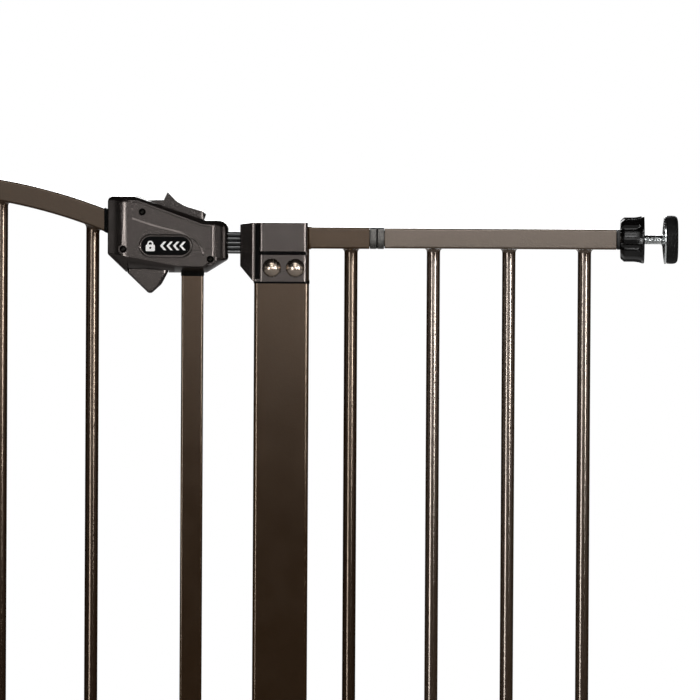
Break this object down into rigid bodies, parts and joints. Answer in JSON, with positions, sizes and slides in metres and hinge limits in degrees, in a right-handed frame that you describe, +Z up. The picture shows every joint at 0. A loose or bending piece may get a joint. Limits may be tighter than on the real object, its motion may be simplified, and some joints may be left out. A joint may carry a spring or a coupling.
{
  "type": "safety baby gate",
  "caption": "Pressure-mounted walk-through safety gate with an arched barred door, a sliding latch bolt and a barred extension panel.",
  "frame": {"origin": "on the floor, at the middle of the walk-through opening, in the gate's middle plane", "axes": "+X along the gate towards the latch and the extension, +Z up, -Y the front with the bolt heads"},
  "size_m": [1.0575, 0.0396, 0.8046],
  "materials": {
    "bronze_paint": "satin dark bronze powder coat",
    "extension_paint": "satin dark bronze powder coat, a touch lighter",
    "charcoal_plastic": "semi-matte brown charcoal",
    "black_plastic": "semi-gloss black",
    "dome_bolt": "polished dark bronze plating",
    "bolt_grey": "satin grey",
    "zinc": "bright zinc plating",
    "screw_black": "black zinc",
    "steel": "plain steel",
    "rubber": "matte black"
  },
  "bodies": {
    "frame": {"post_left": "bronze_paint", "post_right": "bronze_paint", "threshold_rail": "bronze_paint", "side_top_rail_left": "bronze_paint", "side_top_rail_right": "bronze_paint", "side_bottom_rail_left": "bronze_paint", "side_bottom_rail_right": "bronze_paint", "side_bar_left": "bronze_paint", "side_bar_right": "bronze_paint", "extension_top_rail": "extension_paint", "extension_bottom_rail": "extension_paint", "extension_bar_1": "extension_paint", "extension_bar_2": "extension_paint", "extension_bar_3": "extension_paint", "extension_coupler_top": "black_plastic", "extension_coupler_bottom": "black_plastic", "end_bushing_top_right": "black_plastic", "end_bushing_bottom_right": "black_plastic", "end_bushing_top_left": "black_plastic", "end_bushing_bottom_left": "black_plastic", "latch_post_cap": "charcoal_plastic", "hinge_post_cap": "charcoal_plastic", "latch_cap_bolt_1": "dome_bolt", "latch_cap_bolt_2": "dome_bolt", "hinge_cap_bolt_1": "dome_bolt", "hinge_cap_bolt_2": "dome_bolt", "lower_hinge_bracket": "charcoal_plastic", "lower_hinge_pin": "steel", "upper_hinge_pin": "steel"},
    "door": {"door_stile_latch": "bronze_paint", "door_stile_hinge": "bronze_paint", "door_top_rail": "bronze_paint", "door_bottom_rail": "bronze_paint", "door_bar_1": "bronze_paint", "door_bar_2": "bronze_paint", "door_bar_3": "bronze_paint", "door_bar_4": "bronze_paint", "door_bar_5": "bronze_paint", "latch_housing_front": "charcoal_plastic", "latch_housing_back": "charcoal_plastic", "housing_screw_1": "screw_black", "housing_screw_2": "screw_black", "housing_screw_3": "screw_black", "bolt_spring": "steel"},
    "thumb_slide": {"thumb_slide": "charcoal_plastic"},
    "trigger": {"trigger": "charcoal_plastic"},
    "latch_bolt": {"latch_bolt": "bolt_grey", "bolt_pin": "zinc"},
    "knob_top_right": {"knob_top_right": "black_plastic"},
    "spindle_top_right": {"rod_top_right": "zinc", "wall_pad_top_right": "rubber"},
    "knob_bottom_right": {"knob_bottom_right": "black_plastic"},
    "spindle_bottom_right": {"rod_bottom_right": "zinc", "wall_pad_bottom_right": "rubber"},
    "knob_top_left": {"knob_top_left": "black_plastic"},
    "spindle_top_left": {"rod_top_left": "zinc", "wall_pad_top_left": "rubber"},
    "knob_bottom_left": {"knob_bottom_left": "black_plastic"},
    "spindle_bottom_left": {"rod_bottom_left": "zinc", "wall_pad_bottom_left": "rubber"}
  },
  "joints": [
    {"name": "door_swing", "type": "hinge", "parent": "frame", "child": "door", "pos_m": [-0.232, 0, 0.4], "axis": [0, 0, 1], "range_deg": [-90, 90]},
    {"name": "thumb_slide_push", "type": "slide", "parent": "door", "child": "thumb_slide", "axis": [-0.9547, 0, 0.2977], "range_m": [0, 0.007], "stiffness_N_per_m": 300},
    {"name": "trigger_pull", "type": "slide", "parent": "door", "child": "trigger", "axis": [0, 0, 1], "range_m": [-0.007, 0.007], "stiffness_N_per_m": 500},
    {"name": "latch_bolt_slide", "type": "slide", "parent": "door", "child": "latch_bolt", "axis": [1, 0, 0], "range_m": [-0.007, 0.007], "deforming": ["bolt_spring"]},
    {"name": "knob_turn_top_right", "type": "hinge", "parent": "frame", "child": "knob_top_right", "pos_m": [0.5829, 0, 0.752], "axis": [1, 0, 0], "range_deg": [-3457, 5761]},
    {"name": "spindle_slide_top_right", "type": "slide", "parent": "frame", "child": "spindle_top_right", "axis": [1, 0, 0], "range_m": [-0.012, 0.02]},
    {"name": "knob_turn_bottom_right", "type": "hinge", "parent": "frame", "child": "knob_bottom_right", "pos_m": [0.5829, 0, 0.048], "axis": [1, 0, 0], "range_deg": [-3457, 5761]},
    {"name": "spindle_slide_bottom_right", "type": "slide", "parent": "frame", "child": "spindle_bottom_right", "axis": [1, 0, 0], "range_m": [-0.012, 0.02]},
    {"name": "knob_turn_top_left", "type": "hinge", "parent": "frame", "child": "knob_top_left", "pos_m": [-0.3804, 0, 0.752], "axis": [-1, 0, 0], "range_deg": [-3457, 5761]},
    {"name": "spindle_slide_top_left", "type": "slide", "parent": "frame", "child": "spindle_top_left", "axis": [-1, 0, 0], "range_m": [-0.012, 0.02]},
    {"name": "knob_turn_bottom_left", "type": "hinge", "parent": "frame", "child": "knob_bottom_left", "pos_m": [-0.3804, 0, 0.048], "axis": [-1, 0, 0], "range_deg": [-3457, 5761]},
    {"name": "spindle_slide_bottom_left", "type": "slide", "parent": "frame", "child": "spindle_bottom_left", "axis": [-1, 0, 0], "range_m": [-0.012, 0.02]}
  ],
  "couplings": [
    {"joint": "latch_bolt_slide", "follows": "trigger_pull", "ratio": -1},
    {"joint": "knob_turn_top_right", "follows": "spindle_slide_top_right", "rad_per_m": 5026.5},
    {"joint": "knob_turn_bottom_right", "follows": "spindle_slide_bottom_right", "rad_per_m": 5026.5},
    {"joint": "knob_turn_top_left", "follows": "spindle_slide_top_left", "rad_per_m": 5026.5},
    {"joint": "knob_turn_bottom_left", "follows": "spindle_slide_bottom_left", "rad_per_m": 5026.5}
  ]
}
